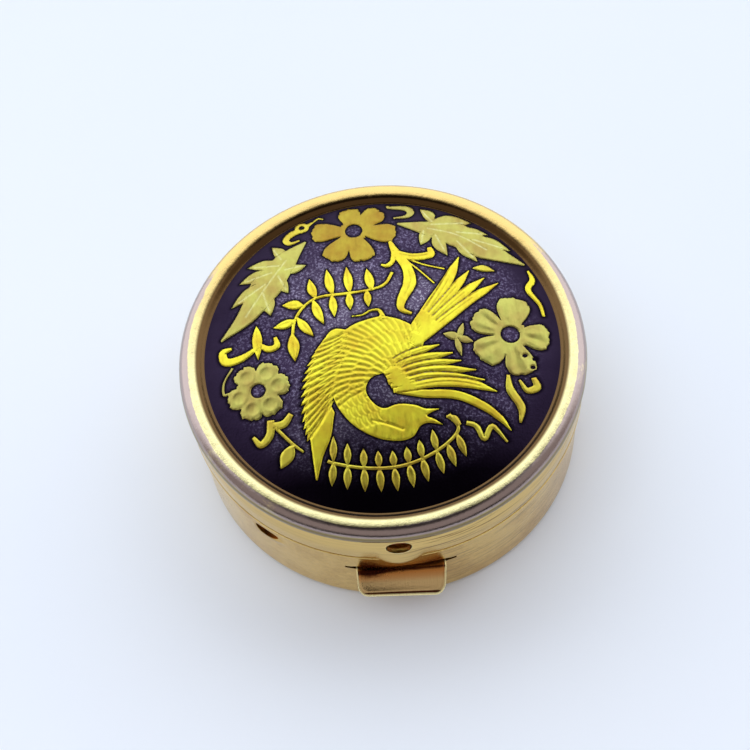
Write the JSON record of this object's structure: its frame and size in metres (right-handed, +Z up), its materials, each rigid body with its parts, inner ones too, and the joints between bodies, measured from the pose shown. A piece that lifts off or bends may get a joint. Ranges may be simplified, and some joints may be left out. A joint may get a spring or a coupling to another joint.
{
  "type": "pill box",
  "caption": "Round hinged pill box: gilt brass cup and domed lid with a black steel disc and gold bird and flower inlays, front thumb latch.",
  "frame": {"origin": "middle of the flat underside of the base", "axes": "+Z up through the lid, -Y towards the thumb latch at the front, +Y towards the hinge, +X to the right seen from the front"},
  "size_m": [0.04, 0.0441, 0.0174],
  "materials": {
    "gilt_brass": "polished gilt, fine scratches",
    "spring_brass": "polished, tarnished at the bends",
    "pin_brass": "drawn wire",
    "black_steel": "blackened, fine matte tooth",
    "gold_bright": "gold foil, hand engraved",
    "gold_pale": "green-gold foil, engraved",
    "gold_warm": "warm gold foil"
  },
  "bodies": {
    "base": {"base_cup": "gilt_brass", "base_collar": "gilt_brass", "latch_foot": "spring_brass", "base_knuckle_left": "gilt_brass", "base_knuckle_right": "gilt_brass", "hinge_pin": "pin_brass"},
    "latch": {"thumb_latch": "spring_brass"},
    "lid": {"inlay_bar": "gold_warm", "inlay_bird": "gold_bright", "inlay_fern_lower": "gold_warm", "inlay_fern_upper": "gold_bright", "inlay_fleur_left": "gold_bright", "inlay_fleur_lower_left": "gold_warm", "inlay_flower_left": "gold_pale", "inlay_flower_right": "gold_pale", "inlay_flower_top": "gold_warm", "inlay_hook": "gold_warm", "inlay_leaf_left": "gold_pale", "inlay_leaf_right": "gold_pale", "inlay_lily": "gold_bright", "inlay_scroll_top": "gold_pale", "inlay_scroll_top_left": "gold_warm", "inlay_small_leaf": "gold_warm", "inlay_sprig": "gold_pale", "inlay_tendril_left": "gold_pale", "inlay_wave_lower": "gold_warm", "inlay_wave_right": "gold_bright", "lid_bezel": "gilt_brass", "lid_knuckle": "gilt_brass", "lid_pan": "gilt_brass", "steel_disc": "black_steel"}
  },
  "joints": [
    {"name": "lid_hinge", "type": "hinge", "parent": "base", "child": "lid", "pos_m": [0, 0.0207, 0.0106], "axis": [-1, 0, 0], "range_deg": [0, 105]},
    {"name": "latch_press", "type": "hinge", "parent": "base", "child": "latch", "pos_m": [0, -0.01843, 0.0014], "axis": [-1, 0, 0], "range_deg": [0, 4.5], "stiffness_Nm_per_rad": 0.12}
  ]
}
